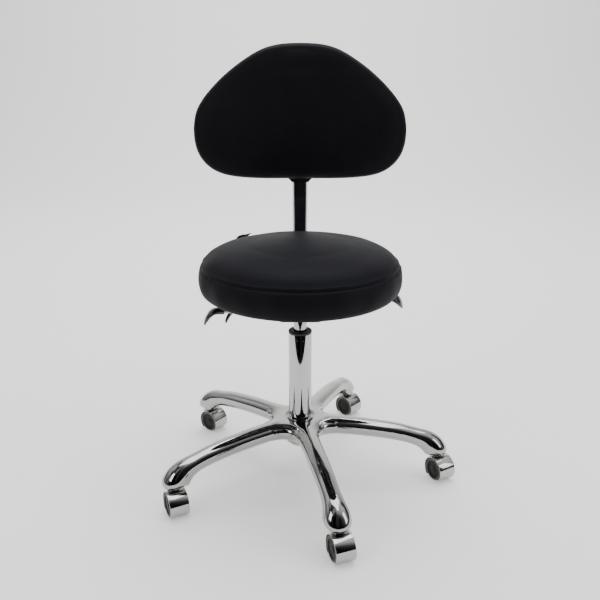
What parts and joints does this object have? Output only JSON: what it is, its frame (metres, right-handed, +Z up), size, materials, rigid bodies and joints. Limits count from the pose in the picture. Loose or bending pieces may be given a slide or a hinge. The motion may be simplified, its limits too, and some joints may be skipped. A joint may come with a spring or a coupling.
{
  "type": "dentist stool",
  "caption": "Round padded stool with a rounded triangular backrest, gas lift, tilt levers and a star base on swivel castors.",
  "frame": {"origin": "on the gas lift's axis, at the level of the floor under the wheels", "axes": "+Z up along the gas lift, -Y towards the front, where the sitter faces, +X to the sitter's left"},
  "size_m": [0.6278, 0.6509, 0.923],
  "materials": {
    "polished_aluminium": "polished",
    "chrome": "polished",
    "chrome_hood": "polished",
    "steel": "satin",
    "black_painted_steel": "satin",
    "black_gloss_plastic": "gloss",
    "black_plastic": "matte",
    "black_vinyl": "satin",
    "plywood": "matte",
    "wheel_nylon": "satin",
    "grey_tread": "matte"
  },
  "bodies": {
    "base": {"star_base": "polished_aluminium", "castor_stems": "steel", "stem_grip_rings": "steel", "lift_outer_tube": "chrome", "lift_guide_bush": "black_plastic", "lift_thrust_bearing": "steel"},
    "lift_spindle": {"lift_piston_rod": "steel", "lift_retaining_clip": "steel"},
    "lift": {"lift_cylinder": "chrome", "mechanism_housing": "black_painted_steel", "pivot_pins": "steel", "lever_bushes": "black_plastic"},
    "release_pin": {"release_pin": "steel"},
    "height_lever": {"height_lever_rod": "steel", "height_lever_paddle": "black_gloss_plastic"},
    "seat_lever": {"seat_lever_rod": "steel", "seat_lever_paddle": "black_gloss_plastic"},
    "back_lever": {"back_lever_rod": "steel", "back_lever_paddle": "black_gloss_plastic"},
    "seat": {"seat_plate": "black_painted_steel", "seat_bolts": "steel", "seat_board": "plywood", "seat_cushion": "black_vinyl"},
    "back_arm": {"back_arm_bracket": "black_painted_steel", "back_upright": "chrome"},
    "backrest": {"back_sleeve": "black_plastic", "back_board": "plywood", "back_cushion": "black_vinyl", "back_screws": "steel"},
    "back_knob": {"back_knob": "black_gloss_plastic"},
    "castor_1": {"castor_1_hood": "chrome_hood", "castor_1_axle": "steel"},
    "castor_1_wheel_left": {"castor_1_core_left": "wheel_nylon", "castor_1_tyre_left": "grey_tread"},
    "castor_1_wheel_right": {"castor_1_core_right": "wheel_nylon", "castor_1_tyre_right": "grey_tread"},
    "castor_2": {"castor_2_hood": "chrome_hood", "castor_2_axle": "steel"},
    "castor_2_wheel_left": {"castor_2_core_left": "wheel_nylon", "castor_2_tyre_left": "grey_tread"},
    "castor_2_wheel_right": {"castor_2_core_right": "wheel_nylon", "castor_2_tyre_right": "grey_tread"},
    "castor_3": {"castor_3_hood": "chrome_hood", "castor_3_axle": "steel"},
    "castor_3_wheel_left": {"castor_3_core_left": "wheel_nylon", "castor_3_tyre_left": "grey_tread"},
    "castor_3_wheel_right": {"castor_3_core_right": "wheel_nylon", "castor_3_tyre_right": "grey_tread"},
    "castor_4": {"castor_4_hood": "chrome_hood", "castor_4_axle": "steel"},
    "castor_4_wheel_left": {"castor_4_core_left": "wheel_nylon", "castor_4_tyre_left": "grey_tread"},
    "castor_4_wheel_right": {"castor_4_core_right": "wheel_nylon", "castor_4_tyre_right": "grey_tread"},
    "castor_5": {"castor_5_hood": "chrome_hood", "castor_5_axle": "steel"},
    "castor_5_wheel_left": {"castor_5_core_left": "wheel_nylon", "castor_5_tyre_left": "grey_tread"},
    "castor_5_wheel_right": {"castor_5_core_right": "wheel_nylon", "castor_5_tyre_right": "grey_tread"}
  },
  "joints": [
    {"name": "seat_swivel", "type": "hinge", "parent": "base", "child": "lift_spindle", "pos_m": [0, 0, 0.15], "axis": [0, 0, 1], "continuous": true},
    {"name": "height_slide", "type": "slide", "parent": "lift_spindle", "child": "lift", "axis": [0, 0, 1], "range_m": [-0.015, 0.105]},
    {"name": "height_lever_turn", "type": "hinge", "parent": "lift", "child": "height_lever", "pos_m": [0, -0.022, 0.389], "axis": [1, 0, 0], "range_deg": [-10, 0], "stiffness_Nm_per_rad": 1.5, "springref_deg": 8.59},
    {"name": "release_pin_press", "type": "slide", "parent": "lift", "child": "release_pin", "axis": [0, 0, 1], "range_m": [-0.004, 0]},
    {"name": "seat_lever_turn", "type": "hinge", "parent": "lift", "child": "seat_lever", "pos_m": [0, 0.026, 0.378], "axis": [1, 0, 0], "range_deg": [0, 25]},
    {"name": "back_lever_turn", "type": "hinge", "parent": "lift", "child": "back_lever", "pos_m": [0, 0.07, 0.389], "axis": [1, 0, 0], "range_deg": [-30, 0]},
    {"name": "seat_tilt", "type": "hinge", "parent": "lift", "child": "seat", "pos_m": [0, -0.044, 0.4], "axis": [1, 0, 0], "range_deg": [-2, 8]},
    {"name": "back_tilt", "type": "hinge", "parent": "lift", "child": "back_arm", "pos_m": [0, 0.092, 0.392], "axis": [-1, 0, 0], "range_deg": [-2, 14]},
    {"name": "back_height", "type": "slide", "parent": "back_arm", "child": "backrest", "axis": [0, 0, 1], "range_m": [-0.03, 0.05]},
    {"name": "back_knob_turn", "type": "hinge", "parent": "backrest", "child": "back_knob", "pos_m": [0, 0.262, 0.668], "axis": [0, 1, 0], "range_deg": [0, 360]},
    {"name": "castor_1_swivel", "type": "hinge", "parent": "base", "child": "castor_1", "pos_m": [0.07033, -0.2975, 0.05], "axis": [0, 0, 1], "continuous": true},
    {"name": "castor_1_wheel_left_roll", "type": "hinge", "parent": "castor_1", "child": "castor_1_wheel_left", "pos_m": [0.07533, -0.31196, 0.025], "axis": [0.9449, 0.3272, 0], "continuous": true},
    {"name": "castor_1_wheel_right_roll", "type": "hinge", "parent": "castor_1", "child": "castor_1_wheel_right", "pos_m": [0.07533, -0.31196, 0.025], "axis": [0.9449, 0.3272, 0], "continuous": true},
    {"name": "castor_2_swivel", "type": "hinge", "parent": "base", "child": "castor_2", "pos_m": [0.30467, -0.02505, 0.05], "axis": [0, 0, 1], "continuous": true},
    {"name": "castor_2_wheel_left_roll", "type": "hinge", "parent": "castor_2", "child": "castor_2_wheel_left", "pos_m": [0.31181, -0.03858, 0.025], "axis": [0.8846, 0.4664, 0], "continuous": true},
    {"name": "castor_2_wheel_right_roll", "type": "hinge", "parent": "castor_2", "child": "castor_2_wheel_right", "pos_m": [0.31181, -0.03858, 0.025], "axis": [0.8846, 0.4664, 0], "continuous": true},
    {"name": "castor_3_swivel", "type": "hinge", "parent": "base", "child": "castor_3", "pos_m": [0.11797, 0.28202, 0.05], "axis": [0, 0, 1], "continuous": true},
    {"name": "castor_3_wheel_left_roll", "type": "hinge", "parent": "castor_3", "child": "castor_3_wheel_left", "pos_m": [0.12883, 0.27124, 0.025], "axis": [0.7046, 0.7096, 0], "continuous": true},
    {"name": "castor_3_wheel_right_roll", "type": "hinge", "parent": "castor_3", "child": "castor_3_wheel_right", "pos_m": [0.12883, 0.27124, 0.025], "axis": [0.7046, 0.7096, 0], "continuous": true},
    {"name": "castor_4_swivel", "type": "hinge", "parent": "base", "child": "castor_4", "pos_m": [-0.23176, 0.19935, 0.05], "axis": [0, 0, 1], "continuous": true},
    {"name": "castor_4_wheel_left_roll", "type": "hinge", "parent": "castor_4", "child": "castor_4_wheel_left", "pos_m": [-0.21997, 0.18959, 0.025], "axis": [0.6374, 0.7705, 0], "continuous": true},
    {"name": "castor_4_wheel_right_roll", "type": "hinge", "parent": "castor_4", "child": "castor_4_wheel_right", "pos_m": [-0.21997, 0.18959, 0.025], "axis": [0.6374, 0.7705, 0], "continuous": true},
    {"name": "castor_5_swivel", "type": "hinge", "parent": "base", "child": "castor_5", "pos_m": [-0.26121, -0.15882, 0.05], "axis": [0, 0, 1], "continuous": true},
    {"name": "castor_5_wheel_left_roll", "type": "hinge", "parent": "castor_5", "child": "castor_5_wheel_left", "pos_m": [-0.25438, -0.17251, 0.025], "axis": [0.8949, 0.4462, 0], "continuous": true},
    {"name": "castor_5_wheel_right_roll", "type": "hinge", "parent": "castor_5", "child": "castor_5_wheel_right", "pos_m": [-0.25438, -0.17251, 0.025], "axis": [0.8949, 0.4462, 0], "continuous": true}
  ],
  "couplings": [
    {"joint": "release_pin_press", "follows": "height_lever_turn", "m_per_rad": 0.0229}
  ]
}
